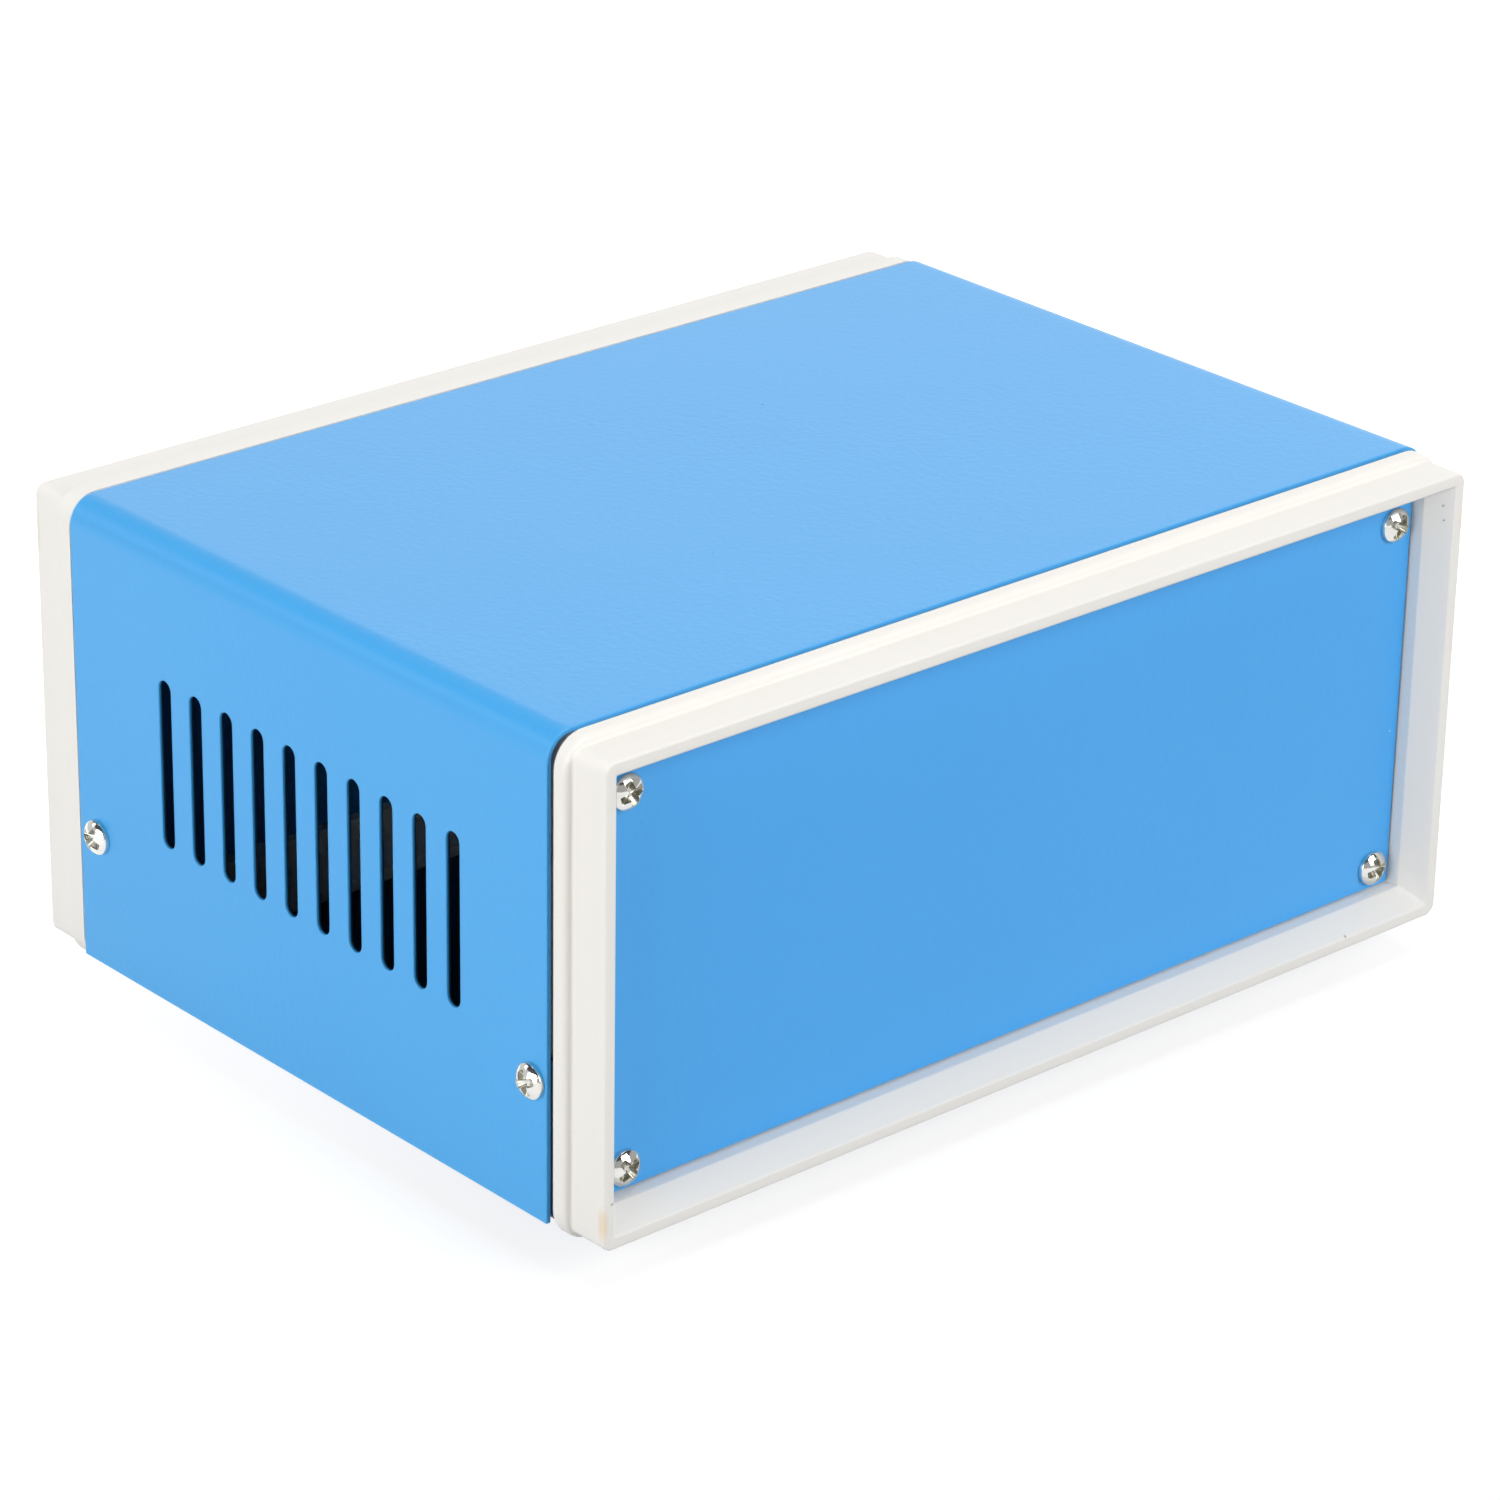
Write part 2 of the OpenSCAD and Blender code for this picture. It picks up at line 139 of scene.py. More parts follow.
# Screws
HEAD_R = 2.7 * MM
HEAD_H = 1.9 * MM
HEAD_RIM_H = 0.7 * MM
HEAD_RIM_EDGE = 0.05 * MM
HEAD_BACK_EDGE = 0.08 * MM
SHANK_R = 1.5 * MM
SHANK_L = 8.0 * MM
THREAD_PITCH = 0.5 * MM
THREAD_DEPTH = 0.27 * MM
THREAD_START = 0.1 * MM
THREAD_RINGS = 66
TIP_L = 0.4 * MM
RECESS_DEPTH = 1.4 * MM
RECESS_HALF_L = 1.9 * MM
RECESS_HALF_W = 0.62 * MM
RECESS_WING_POWER = 7
RECESS_FLOOR_SCALE = (0.45, 0.5)
RECESS_FLOOR_RISE = 0.2 * MM
RECESS_EDGE_DROP = 0.05 * MM
RECESS_EDGE_W = 0.07 * MM
RECESS_RINGS = 6
# Share of a recess's painted shade at its floor, rising to the whole at its mouth
RECESS_FLOOR_SHADE_SHARE = 0.3

# Feet
FOOT_TAPER = 1.0 * MM
FOOT_EDGE_R = 0.8 * MM
FOOT_TOP_EDGE = 0.2 * MM
FOOT_RECESS_R = 3.4 * MM
FOOT_RECESS_EDGE = 0.25 * MM
FOOT_WEB = 3.0 * MM

# Mesh making
MERGE_REACH = 0.002 * MM
FRAME_SMOOTH_ANGLE = math.radians(40)
TURNED_SMOOTH_ANGLE = math.radians(35)
ROUND_STEPS = 40
FINE_ROUND_STEPS = 96
QUARTER_STEPS = 6
FRAME_CORNER_STEPS = 10
FRAME_RUN_STEPS = (24, 12, 24, 12)
HOLE_RINGS = 5
HOLE_RING_CROWDING = 1.5
TINY = 1e-12

# Colours of the finishes. The coat's two tones give red and green only, because their blue differs by sheet
COAT_DEEP = (0.052, 0.375)
COAT_LIGHT = (0.060, 0.392)
COAT_BLUE_DRIFT = 0.025
COAT_GRAIN = (0.08, 0.43, 0.85, 1)
COAT_GRAIN_SHARE = 0.12
COAT_DARK_SPECK = (0.02, 0.12, 0.30, 1)
COAT_PALE_SPECK = (0.35, 0.62, 0.92, 1)
# Painted shade for the inside of the box and the walls of the cover's slots
INSIDE_PAINTED_SHADE = (0.005, 0.045, 0.10, 1)
# The panels' blue is stronger than the case's: painted light that lifts the panels, which lie in shade in
# their recesses
PANEL_BLUE_LIFTED_FOR_SHADE = 0.85
CASE_BLUE = 0.80
ABS_TONES = ((0.855, 0.83, 0.785, 1), (0.87, 0.85, 0.81, 1))
ABS_SPECK = (0.45, 0.43, 0.40, 1)
NICKEL_TONES = ((0.70, 0.69, 0.65, 1), (0.82, 0.81, 0.78, 1))
NICKEL_ROUGHNESS = (0.05, 0.13)
RECESS_DULLING = 0.2
# Painted shade in the screws' cross recesses; the side screws' painted shade is paler
RECESS_PAINTED_SHADE = (0.24, 0.23, 0.16, 1)
SIDE_RECESS_PAINTED_SHADE = (0.40, 0.39, 0.33, 1)
RUBBER_BLACK = (0.016, 0.016, 0.018, 1)
RUBBER_DUST = (0.10, 0.10, 0.10, 1)
DUST_RISE = (0.5, 0.8)
DUST_SHARE = 0.25
SPECK_CORE = 0.6
STAIN_CORE = 0.2

# Depths below the outside over which a sheet's paint turns to painted shade, and the stretch left out at its
# ends
COVER_INSIDE = (0.3 * MM, 0.5 * MM)
COVER_END = (0.3 * MM, 0.9 * MM)
TRAY_INSIDE = (0.3 * MM, 0.7 * MM)

# Stains on the frames: place, half sizes, colour and strength
YELLOW = (0.80, 0.60, 0.33, 1)
GREENISH = (0.62, 0.62, 0.38, 1)
DARK = (0.10, 0.09, 0.08, 1)
STAINS = {
    "front": (
        ((-83.3 * MM, -64.6 * MM, 10.2 * MM), (1.1 * MM, 1.3 * MM, 3.6 * MM), YELLOW, 0.5),
        ((83.4 * MM, -64.6 * MM, 70.9 * MM), (0.8 * MM, 1.1 * MM, 3.0 * MM), YELLOW, 0.45),
        ((-81.9 * MM, -64.8 * MM, 13.1 * MM), (0.3 * MM, 0.4 * MM, 0.3 * MM), DARK, 0.6),
        ((80.5 * MM, -63.3 * MM, 73.4 * MM), (0.5 * MM, 0.3 * MM, 0.3 * MM), DARK, 0.7),
        ((80.6 * MM, -63.5 * MM, 71.1 * MM), (0.5 * MM, 0.25 * MM, 0.25 * MM), DARK, 0.8),
        ((63.6 * MM, -64.6 * MM, 8.0 * MM), (0.3 * MM, 0.4 * MM, 0.6 * MM), DARK, 0.6),
    ),
    "rear": (
        ((-83.4 * MM, 64.4 * MM, 71.5 * MM), (0.7 * MM, 0.9 * MM, 5.0 * MM), GREENISH, 0.35),
    ),
}

# Turn of each screw's recess, in degrees, in the order of head_seats
SCREW_TURNS = {
    "front_panel_screws": (38, 20, 14, 62),
    "rear_panel_screws": (55, 10, 32, 74),
    "left_cover_screws": (24, 66),
    "right_cover_screws": (48, 12),
    "front_tray_screws": (5, 50),
    "rear_tray_screws": (70, 33),
    "foot_screws": (15, 60, 41, 80),
}
# Axis that each group of heads faces along, and which way
SCREW_FACING = {
    "front_panel_screws": (1, -1),
    "rear_panel_screws": (1, 1),
    "left_cover_screws": (0, -1),
    "right_cover_screws": (0, 1),
    "front_tray_screws": (2, -1),
    "rear_tray_screws": (2, -1),
    "foot_screws": (2, -1),
}


# Meshes from grids of points

def grid_quads(rows, columns, close_rows, close_columns):
    """Corner numbers of a grid's quads: a point, the next row's, that one's neighbour and the first one's."""
    row = np.arange(rows if close_rows else rows - 1)[:, None]
    column = np.arange(columns if close_columns else columns - 1)[None, :]
    next_row = (row + 1) % rows
    next_column = (column + 1) % columns
    corners = [row * columns + column, next_row * columns + column,
               next_row * columns + next_column, row * columns + next_column]
    return np.stack(corners, axis=-1).reshape(-1, 4)


def make_mesh(name, patches, closed, recess=None):
    """One smooth mesh from patches (points, close_rows, close_columns), with shared borders merged.

    A closed mesh has its faces turned outwards; an open skin keeps the facing of its grids. `recess` gives
    every point's share of a screw recess's painted shade, which the plating reads.
    """
    points = np.concatenate([patch[0].reshape(-1, 3) for patch in patches])
    starts = np.cumsum([0] + [patch[0].shape[0] * patch[0].shape[1] for patch in patches])
    quads = np.concatenate([
        grid_quads(grid.shape[0], grid.shape[1], close_rows, close_columns) + start
        for (grid, close_rows, close_columns), start in zip(patches, starts)])
    mesh = bpy.data.meshes.new(name)
    mesh.vertices.add(len(points))
    mesh.vertices.foreach_set("co", points.astype(np.float32).ravel())
    mesh.loops.add(quads.size)
    mesh.loops.foreach_set("vertex_index", quads.astype(np.int32).ravel())
    mesh.polygons.add(len(quads))
    mesh.polygons.foreach_set("loop_start", np.arange(0, quads.size, 4, dtype=np.int32))
    mesh.update(calc_edges=True)
    if recess is not None:
        values = mesh.attributes.new("recess", "FLOAT", "POINT").data
        values.foreach_set("value", recess.astype(np.float32).ravel())
    work = bmesh.new()
    work.from_mesh(mesh)
    bmesh.ops.remove_doubles(work, verts=work.verts, dist=MERGE_REACH)
    if closed:
        bmesh.ops.recalc_face_normals(work, faces=work.faces)
    work.to_mesh(mesh)
    work.free()
    mesh.polygons.foreach_set("use_smooth", np.ones(len(mesh.polygons), dtype=bool))
    return mesh


def place_piece(name, mesh, material, node):
    """Puts a mesh in the scene as the piece that stands for a CAD node."""
    piece = bpy.data.objects.new(name, mesh)
    bpy.context.scene.collection.objects.link(piece)
    mesh.materials.append(material)
    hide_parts(node)
    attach(piece, "root")
    return piece


def round_edges(piece, radius):
    """Rounds a piece's sharp edges and keeps its flat faces flat in shading."""
    bevel = piece.modifiers.new("edge_rounding", "BEVEL")
    bevel.width = radius
    bevel.segments = 3
    bevel.limit_method = "ANGLE"
    bevel.angle_limit = math.radians(50)
    bevel.use_clamp_overlap = True
    piece.modifiers.new("flat_shading", "WEIGHTED_NORMAL").keep_sharp = True


# Sheet metal

def grid_lines(places, steps):
    """Lines through the given places, with an even number of steps between each place and the next."""
    runs = [np.linspace(a, b, n, endpoint=False) for a, b, n in zip(places[:-1], places[1:], steps)]
    return [np.append(run, end) for run, end in zip(runs, places[1:])]


def plain_cell(u, v):
    """Flat grid over the lines u and v."""
    return np.stack(np.meshgrid(u, v, indexing="ij"), axis=-1)


def holed_cell(u, v, centre, spine, radius):
    """Flat cell with a round-ended hole: each border point runs straight in to the hole's spine and stops a
    radius away from it, and rings of points, closer together at the hole, fill the way between."""
    border = np.concatenate([
        np.stack([u[:-1], np.full(len(u) - 1, v[0])], axis=-1),
        np.stack([np.full(len(v) - 1, u[-1]), v[:-1]], axis=-1),
        np.stack([u[:0:-1], np.full(len(u) - 1, v[-1])], axis=-1),
        np.stack([np.full(len(v) - 1, u[0]), v[:0:-1]], axis=-1)])
    nearest = np.stack([np.clip(border[:, 0], centre[0] - spine, centre[0] + spine),
                        np.full(len(border), centre[1])], axis=-1)
    away = border - nearest
    rim = nearest + radius * away / np.linalg.norm(away, axis=1, keepdims=True)
    share = np.linspace(0, 1, HOLE_RINGS)[:, None, None] ** HOLE_RING_CROWDING
    return rim + share * (border - rim)


def flat_pattern(u_runs, v_runs, holes):
    """Patches of a flat sheet: one cell for each pair of runs of lines, with holes where `holes` names them
    as (u run, v run): (centre, half length of the spine, radius)."""
    patches = []
    for i, u in enumerate(u_runs):
        for j, v in enumerate(v_runs):
            if (i, j) in holes:
                patches.append((holed_cell(u, v, *holes[i, j]), False, True))
            else:
                patches.append((plain_cell(u, v), False, False))
    return patches


def folded(patches, width, bend_r, level, upwards):
    """Folds a flat pattern into a channel. u is the distance from the middle of the web along the sheet's
    outside: straight across, round a bend, then straight along a side. v is the place along Y."""
    web = width / 2 - bend_r
    out = []
    for grid, close_rows, close_columns in patches:
        u, v = grid[..., 0], grid[..., 1]
        bend = np.clip((np.abs(u) - web) / bend_r, 0, math.pi / 2)
        side = np.maximum(np.abs(u) - web - bend_r * math.pi / 2, 0)
        x = np.sign(u) * (np.minimum(np.abs(u), web) + bend_r * np.sin(bend))
        depth = bend_r * (1 - np.cos(bend)) + side
        if upwards:
            points = np.stack([-x, v, level + depth], axis=-1)
        else:
            points = np.stack([x, v, level - depth], axis=-1)
        out.append((points, close_rows, close_columns))
    return out


def sheet_piece(name, patches, thickness, material, node):
    """A painted sheet: the outer skin gets its thickness inwards and soft, paint-filled edges."""
    piece = place_piece(name, make_mesh(name, patches, closed=False), material, node)
    wall = piece.modifiers.new("sheet", "SOLIDIFY")
    wall.thickness = thickness
    wall.offset = -1
    wall.use_even_offset = True
    round_edges(piece, SHEET_EDGE_R)


def mirrored_runs(runs):
    """Runs of lines for both halves of a symmetric sheet, from those of the positive half."""
    return [-run[::-1] for run in runs[::-1]] + runs


def both_halves(holes, runs):
    """Holes for both halves of a symmetric sheet, whose positive half has so many runs."""
    left = {(runs - 1 - i, j): ((-centre[0], centre[1]), spine, radius)
            for (i, j), (centre, spine, radius) in holes.items()}
    right = {(runs + i, j): hole for (i, j), hole in holes.items()}
    return {**left, **right}


def make_cover(material):
    """Folded cover: slots and screw holes are laid out on one side of the flat pattern and mirrored."""
    low, high = (np.array(corner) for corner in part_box("top_cover"))
    width = high[0] - low[0]
    web = width / 2 - COVER_BEND_R
    side = web + COVER_BEND_R * math.pi / 2
    screw_seats = head_seats("left_cover_screws")
    vent_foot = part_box("base_tray")[1].z + VENT_ABOVE_TRAY

    def sheet_u(z):
        return side + (high[2] - COVER_BEND_R) - z

    screw_u = sheet_u(screw_seats[0][2])
    vent_u = sheet_u(vent_foot + VENT_L / 2)
    u_runs = grid_lines(
        [0, web - BEND_MARGIN, web, side, side + BEND_MARGIN, vent_u - VENT_L / 2 - VENT_MARGIN,
         screw_u - HOLE_CELL, screw_u + HOLE_CELL, sheet_u(low[2])],
        [6, 1, 12, 1, 4, 24, 8, 6])
    front_y, rear_y = (seat[1] for seat in screw_seats)
    vent_start = VENT_ROW_Y - VENT_COUNT / 2 * VENT_PITCH
    vent_places = vent_start + VENT_PITCH * np.arange(VENT_COUNT + 1)
    v_runs = grid_lines(
        [low[1], front_y + HOLE_CELL, *vent_places, rear_y - HOLE_CELL, rear_y + HOLE_CELL, high[1]],
        [8, 3] + [10] * VENT_COUNT + [3, 8, 2])
    slot_row, screw_row = 5, 6
    front_column, first_slot, rear_column = 0, 2, VENT_COUNT + 3
    holes = {(slot_row, first_slot + i): ((vent_u, vent_start + (i + 0.5) * VENT_PITCH),
                                          (VENT_L - VENT_W) / 2, VENT_W / 2)
             for i in range(VENT_COUNT)}
    holes[screw_row, front_column] = ((screw_u, front_y), 0, SCREW_HOLE_R)
    holes[screw_row, rear_column] = ((screw_u, rear_y), 0, SCREW_HOLE_R)
    flat = flat_pattern(mirrored_runs(u_runs), v_runs, both_halves(holes, len(u_runs)))
    sheet_piece("cover", folded(flat, width, COVER_BEND_R, high[2], upwards=False),
                SHEET_T, material, "top_cover")


def make_tray(material):
    """Folded tray under the cover: holes for the cover's screws in its sides, and for the frames' screws and
    the feet in its floor."""
    low, high = (np.array(corner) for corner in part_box("base_tray"))
    width = high[0] - low[0]
    web = width / 2 - TRAY_BEND_R
    side = web + TRAY_BEND_R * math.pi / 2
    cover_seats = head_seats("left_cover_screws")
    tray_seats = [head_seats(node)[-1] for node in ("front_tray_screws", "rear_tray_screws")]
    foot_seats = head_seats("foot_screws")[-2:]
    screw_u = side + cover_seats[0][2] - (low[2] + TRAY_BEND_R)
    tray_u, foot_u = tray_seats[0][0], foot_seats[0][0]
    u_runs = grid_lines(
        [0, tray_u - HOLE_CELL, tray_u + HOLE_CELL, foot_u - HOLE_CELL, foot_u + HOLE_CELL,
         web - BEND_MARGIN, web, side, side + BEND_MARGIN, screw_u - HOLE_CELL, screw_u + HOLE_CELL,
         side + high[2] - low[2] - TRAY_BEND_R],
        [6, 8, 2, 8, 3, 1, 8, 1, 4, 8, 2])
    front, rear = (seat[1] for seat in cover_seats)
    front_tray, rear_tray = (seat[1] for seat in tray_seats)
    front_foot, rear_foot = (seat[1] for seat in foot_seats)
    v_runs = grid_lines(
        [low[1], front_tray + HOLE_CELL, front_foot - HOLE_CELL, front_foot + HOLE_CELL,
         rear_foot - HOLE_CELL, rear_foot + HOLE_CELL, min(rear, rear_tray) - HOLE_CELL, high[1]],
        [10, 4, 8, 10, 8, 4, 10])
    floor_screw_row, foot_row, side_screw_row = 1, 3, 9
    front_column, front_foot_column, rear_foot_column, rear_column = 0, 2, 4, 6
    holes = {
        (side_screw_row, front_column): ((screw_u, front), 0, SCREW_HOLE_R),
        (floor_screw_row, front_column): ((tray_u, front_tray), 0, SCREW_HOLE_R),
        (foot_row, front_foot_column): ((foot_u, front_foot), 0, SCREW_HOLE_R),
        (foot_row, rear_foot_column): ((foot_u, rear_foot), 0, SCREW_HOLE_R),
        (floor_screw_row, rear_column): ((tray_u, rear_tray), 0, SCREW_HOLE_R),
        (side_screw_row, rear_column): ((screw_u, rear), 0, SCREW_HOLE_R),
    }
    flat = flat_pattern(mirrored_runs(u_runs), v_runs, both_halves(holes, len(u_runs)))
    sheet_piece("tray", folded(flat, width, TRAY_BEND_R, low[2], upwards=True),
                SHEET_T, material, "base_tray")


def turned_round(points):
    """Half a turn about the upright axis, which takes a front piece to the rear."""
    return points * (-1, -1, 1)


def make_panel(end, material):
    """Flat end panel with a hole for each corner screw and slightly round corners: within a corner's square
    the points are drawn in along their own direction until the square is a quarter disc."""
    node = end + "_panel"
    low, high = (np.array(corner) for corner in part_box(node))
    half = (high - low) / 2
    middle = (high + low) / 2
    reach = np.abs(head_seats(node + "_screws")[-1] - middle)
    runs = [grid_lines([0, reach[axis] - HOLE_CELL, reach[axis] + HOLE_CELL, half[axis]], [steps, 8, 2])
            for axis, steps in ((0, 8), (2, 4))]
    screw_row, lower_column, upper_column = 1, 1, 4
    holes = {(screw_row, upper_column): ((reach[0], reach[2]), 0, SCREW_HOLE_R),
             (screw_row, lower_column): ((reach[0], -reach[2]), 0, SCREW_HOLE_R)}
    flat = flat_pattern(mirrored_runs(runs[0]), mirrored_runs(runs[1]), both_halves(holes, len(runs[0])))
    inner = np.array([half[0], half[2]]) - PANEL_CORNER_R
    patches = []
    for grid, close_rows, close_columns in flat:
        beyond = np.maximum(np.abs(grid) - inner, 0)
        length = np.maximum(np.linalg.norm(beyond, axis=-1, keepdims=True), TINY)
        drawn = beyond * beyond.max(axis=-1, keepdims=True) / length
        in_plane = np.sign(grid) * (np.minimum(np.abs(grid), inner) + drawn)
        face = np.full(grid.shape[:2], -np.abs(middle[1]) - half[1])
        points = np.stack([in_plane[..., 0], face, in_plane[..., 1] + middle[2]], axis=-1)
        patches.append((points if end == "front" else turned_round(points), close_rows, close_columns))
    sheet_piece(end + "_face_panel", patches, 2 * half[1], material, node)


# Moulded frames

def soft_section(corners):
    """A closed section with each corner rounded: a quarter ellipse that touches both legs a radius away from
    the corner. A corner is its insets at the sides, the top and the bottom, its ring radius and its depth,
    with the radius of its rounding."""
    values = np.array([corner[0] for corner in corners])
    radii = np.array([corner[1] for corner in corners])

    def leg(step):
        line = np.roll(values, step, axis=0) - values
        length = np.hypot(line[:, 0], line[:, 4])
        return line / length[:, None]

    turn = np.linspace(0, math.pi / 2, QUARTER_STEPS + 1)[None, :, None]
    arcs = values[:, None, :] + radii[:, None, None] * (
        leg(1)[:, None, :] * (1 - np.sin(turn)) + leg(-1)[:, None, :] * (1 - np.cos(turn)))
    return arcs.reshape(-1, 5)


def carried_round(section, low, high, face_y):
    """Carries a section round a rectangle with round corners: each of the section's points gives one ring of
    four quarter arcs joined by evenly divided straight runs."""
    inset_side, inset_top, inset_bottom, ring_r, depth = (column[:, None] for column in section.T)
    quarter = np.linspace(0, math.pi / 2, FRAME_CORNER_STEPS + 1)[None, :]
    left, right = low[0] + inset_side + ring_r, high[0] - inset_side - ring_r
    bottom, top = low[2] + inset_bottom + ring_r, high[2] - inset_top - ring_r
    centres = ((right, top), (left, top), (left, bottom), (right, bottom))
    arcs = [np.stack([x + ring_r * np.cos(quarter + k * math.pi / 2),
                      z + ring_r * np.sin(quarter + k * math.pi / 2)], axis=-1)
            for k, (x, z) in enumerate(centres)]
    ring = []
    for arc, next_arc, steps in zip(arcs, arcs[1:] + arcs[:1], FRAME_RUN_STEPS):
        share = np.linspace(0, 1, steps + 1)[None, 1:-1, None]
        ring += [arc, arc[:, -1:] + share * (next_arc[:, :1] - arc[:, -1:])]
    ring = np.concatenate(ring, axis=1)
    y = np.broadcast_to(face_y - depth, ring.shape[:2])
    return np.stack([ring[..., 0], y, ring[..., 1]], axis=-1)


def turned(profile, base, axis, across):
    """A profile of (radius, height) points turned about the axis through base."""
    angle = np.linspace(0, 2 * math.pi, ROUND_STEPS, endpoint=False)
    axis, across = np.array(axis, float), np.array(across, float)
    spoke = np.cos(angle)[:, None] * across + np.sin(angle)[:, None] * np.cross(axis, across)
    radius, height = np.array(profile).T
    points = radius[:, None, None] * spoke + height[:, None, None] * axis
    return (points + base, False, True)


def block(low, high):
    """A closed box as rings: a point in the middle of one face, its four corners, the other face's four
    corners and its middle."""
    low, high = np.array(low), np.array(high)
    square = np.array([(0, 0), (1, 0), (1, 1), (0, 1)])
    ends = np.array([0, 0, 1, 1])[:, None]
    spread = np.array([0, 1, 1, 0])[:, None, None]
    in_plane = 0.5 + spread * (square - 0.5)
    share = np.concatenate([in_plane, np.broadcast_to(ends[..., None], in_plane.shape[:2] + (1,))], axis=-1)
    return (low + share * (high - low), False, True)


def blind_boss(length, cap):
    """Profile of a moulded boss with a blind hole, from the bottom of the hole to the middle of its back."""
    hole_end = cap - length
    return [(0, hole_end), (THREAD_HOLE_R, hole_end), (THREAD_HOLE_R, 0), (BOSS_R, 0), (BOSS_R, -length),
            (0, -length)]


def frame_section(low, high, back_l, back_r):
    """The frame's section as rounded corners, from the back of the spigot forwards over the flange and the
    lip, in at the mouth, down the flare to the ledge and back through the spigot. The flange reaches `back_l`
    towards the cover, with an edge of radius `back_r`. The spigot's insets are returned with it."""
    tray_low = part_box("base_tray")[0]
    spigot = np.array([tray_low.x + SHEET_T + FIT_GAP - low[0],
                       high[2] - (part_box("top_cover")[1].z - SHEET_T - FIT_GAP),
                       tray_low.z + SHEET_T - low[2]])
    hollow = spigot + SPIGOT_WALL
    mouth = LIP_STEP + LIP_WALL
    opening = LIP_STEP + OPENING_INSET
    ledge = opening + LEDGE_W
    face = FLANGE_L + LIP_L

    def even(inset, ring_r, depth):
        return (inset, inset, inset, ring_r, depth)

    return soft_section([
        ((*spigot, SPIGOT_CORNER_R, -SPIGOT_L), MOULD_EDGE_R),
        ((*spigot, SPIGOT_CORNER_R, -back_l), MOULD_EDGE_R),
        (even(0, FLANGE_CORNER_R, -back_l), back_r),
        (even(0, FLANGE_CORNER_R, FLANGE_L), FLANGE_EDGE_R),
        (even(LIP_STEP, LIP_CORNER_R, FLANGE_L), STEP_FILLET_R),
        (even(LIP_STEP, LIP_CORNER_R, face), LIP_EDGE_R),
        (even(mouth, OPENING_CORNER_R, face), MOUTH_EDGE_R),
        (even(opening, OPENING_CORNER_R, face - FLARE_L), MOULD_EDGE_R),
        (even(opening, OPENING_CORNER_R, LEDGE_T), HIDDEN_EDGE_R),
        (even(ledge, OPENING_CORNER_R, LEDGE_T), MOULD_EDGE_R),
        (even(ledge, OPENING_CORNER_R, 0), HIDDEN_EDGE_R),
        ((*hollow, SPIGOT_CORNER_R - SPIGOT_WALL, 0), HIDDEN_EDGE_R),
        ((*hollow, SPIGOT_CORNER_R - SPIGOT_WALL, -SPIGOT_L), MOULD_EDGE_R),
    ]), spigot


def make_frame(end, material):
    """One moulded end frame: its section carried round, with the bosses and ribs inside its spigot. A rear
    frame is worked out as a front one and turned round."""
    node = end + "_frame"
    low, high = (np.array(corner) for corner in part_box(node))
    if end == "rear":
        corners = np.stack([turned_round(low), turned_round(high)])
        low, high = corners.min(axis=0), corners.max(axis=0)
    flange_y = low[1] + FLANGE_L + LIP_L
    section, spigot = frame_section(low, high, *FLANGE_BACKS[end])
    patches = [(carried_round(section, low, high, flange_y), True, True)]
    wall = spigot + SPIGOT_WALL / 2
    inside_x = high[0] - wall[0]
    inside_z = (low[2] + wall[2], high[2] - wall[1])

    way = 1 if end == "front" else -1
    panel_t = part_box(end + "_panel")[1].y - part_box(end + "_panel")[0].y
    panel_boss_l = SHANK_L - panel_t - LEDGE_T + BOSS_CAP
    front_y, rear_y = flange_y - MOULD_EDGE_R, flange_y + panel_boss_l
    for seat in head_seats(end + "_panel_screws"):
        x, z = seat[0] * way, seat[2]
        patches.append(turned(blind_boss(panel_boss_l, BOSS_CAP), (x, flange_y, z), (0, -1, 0), (1, 0, 0)))
        wall_x = math.copysign(inside_x, x)
        wall_z = inside_z[1] if z > (low[2] + high[2]) / 2 else inside_z[0]
        rib_x = sorted((x + math.copysign(BOSS_R - RIB_T / 2, x), wall_x))
        rib_z = sorted((z + math.copysign(BOSS_R - RIB_T / 2, wall_z - z), wall_z))
        patches.append(block((rib_x[0], front_y, z - RIB_T / 2), (rib_x[1], rear_y, z + RIB_T / 2)))
        patches.append(block((x - RIB_T / 2, front_y, rib_z[0]), (x + RIB_T / 2, rear_y, rib_z[1])))

    cover_seat = head_seats("left_cover_screws")[0 if end == "front" else 1]
    tray_seat = head_seats(end + "_tray_screws")[0]
    cover_boss_l = SHANK_L - (abs(cover_seat[0]) - inside_x) + BOSS_CAP
    tray_boss_l = SHANK_L - (inside_z[0] - tray_seat[2]) + BOSS_CAP
    for side in (-1, 1):
        patches.append(turned(blind_boss(cover_boss_l, BOSS_CAP),
                              (side * inside_x, cover_seat[1] * way, cover_seat[2]), (side, 0, 0), (0, 1, 0)))
        patches.append(turned(blind_boss(tray_boss_l, BOSS_CAP),
                              (side * tray_seat[0], tray_seat[1] * way, inside_z[0]), (0, 0, -1), (1, 0, 0)))
    mesh = make_mesh(end + "_moulded_frame", [
        (grid if end == "front" else turned_round(grid), close_rows, close_columns)
        for grid, close_rows, close_columns in patches], closed=True)
    mesh.set_sharp_from_angle(angle=FRAME_SMOOTH_ANGLE)
    place_piece(end + "_moulded_frame", mesh, material, node)


# Screws and feet

def head_seats(node):
    """Seat points of a group's screws: the corners of the group's box, drawn in by a head's radius, on the
    plane a shank's length from the tips. Where the box is less than three radii wide, it holds one row."""
    axis, way = SCREW_FACING[node]
    low, high = (np.array(corner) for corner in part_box(node))
    places = [[(a + b) / 2] if b - a < 3 * HEAD_R else [a + HEAD_R, b - HEAD_R] for a, b in zip(low, high)]
    places[axis] = [low[axis] + SHANK_L if way > 0 else high[axis] - SHANK_L]
    return np.stack(np.meshgrid(*places, indexing="ij"), axis=-1).reshape(-1, 3)


